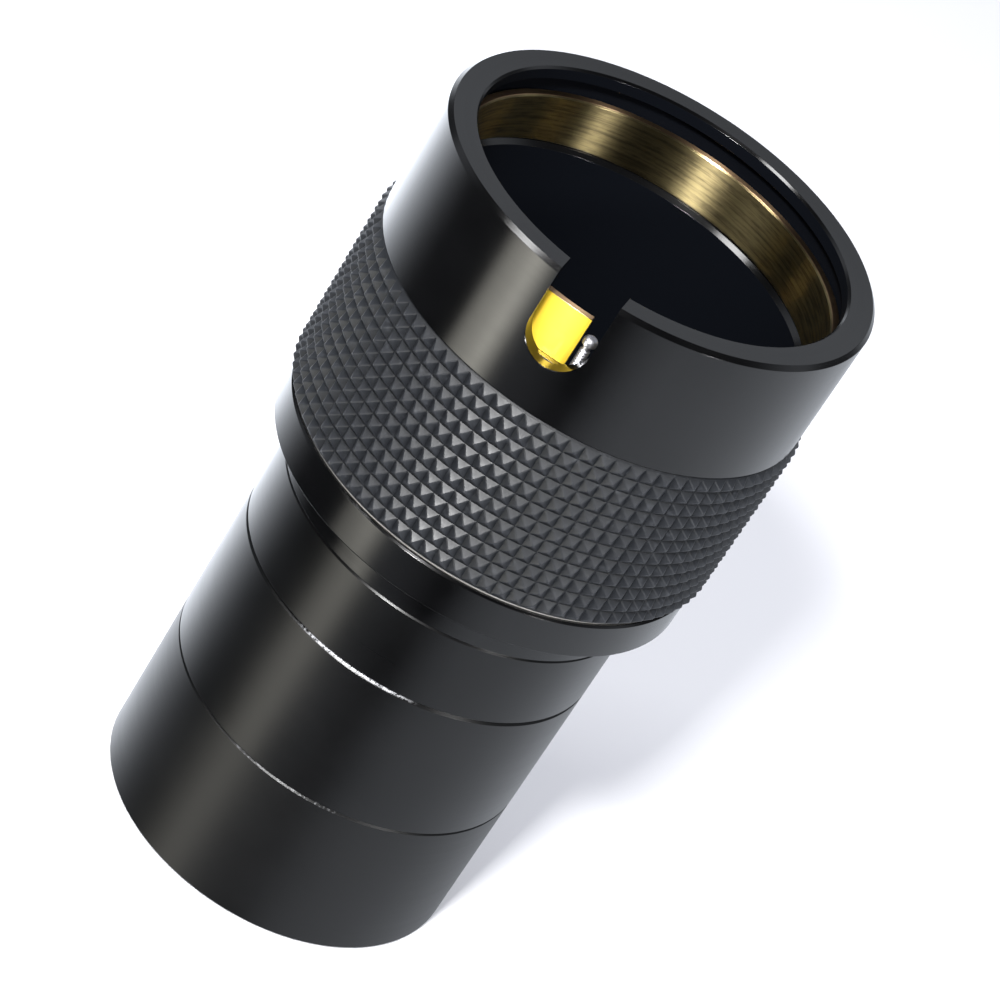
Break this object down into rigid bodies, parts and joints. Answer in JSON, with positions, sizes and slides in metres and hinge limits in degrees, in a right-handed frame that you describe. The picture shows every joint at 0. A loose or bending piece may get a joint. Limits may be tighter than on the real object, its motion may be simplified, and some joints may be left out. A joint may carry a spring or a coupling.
{
  "type": "barlow lens barrel",
  "caption": "Two-inch telescope barrel with a negative lens, a screwed nosepiece and a rubber-gripped twist-lock socket with a brass compression ring.",
  "frame": {"origin": "centre of the nosepiece's bottom edge, on the optical axis", "axes": "+Z along the optical axis out of the eyepiece socket, -Y towards the notch in the twist sleeve, +X to the right seen from the notch's side"},
  "size_m": [0.0606, 0.0606, 0.109],
  "materials": {
    "black_anodised": "black anodised, semi-gloss with fine turning marks",
    "barrel_black": "black anodised, fine bead-blasted matte",
    "grip_rubber": "matte moulded rubber with square pyramids",
    "ring_brass": "brushed round its circumference",
    "screw_steel": "bright plated",
    "set_screw_steel": "black oxide",
    "washer_plastic": "waxy low-friction plastic",
    "seal_rubber": "smooth",
    "lens_glass": "polished with a green anti-reflection coating",
    "foil": "thin rolled foil"
  },
  "bodies": {
    "barrel": {"main_body": "black_anodised", "compression_ring": "ring_brass", "anchor_screw": "screw_steel", "glide_washer": "washer_plastic", "upper_barrel": "barrel_black", "middle_barrel": "barrel_black", "lens_cell": "barrel_black", "crown_lens": "lens_glass", "flint_lens": "lens_glass", "foil_spacer": "foil", "pressure_ring": "seal_rubber", "lens_retainer": "black_anodised", "lower_baffle": "barrel_black", "upper_baffle": "barrel_black"},
    "collar": {"twist_sleeve": "black_anodised", "rubber_grip": "grip_rubber", "guide_screws": "set_screw_steel"}
  },
  "joints": [
    {"name": "collar_twist", "type": "hinge", "parent": "barrel", "child": "collar", "pos_m": [0, 0, 0.08], "axis": [0, 0, 1], "range_deg": [0, 13]}
  ]
}
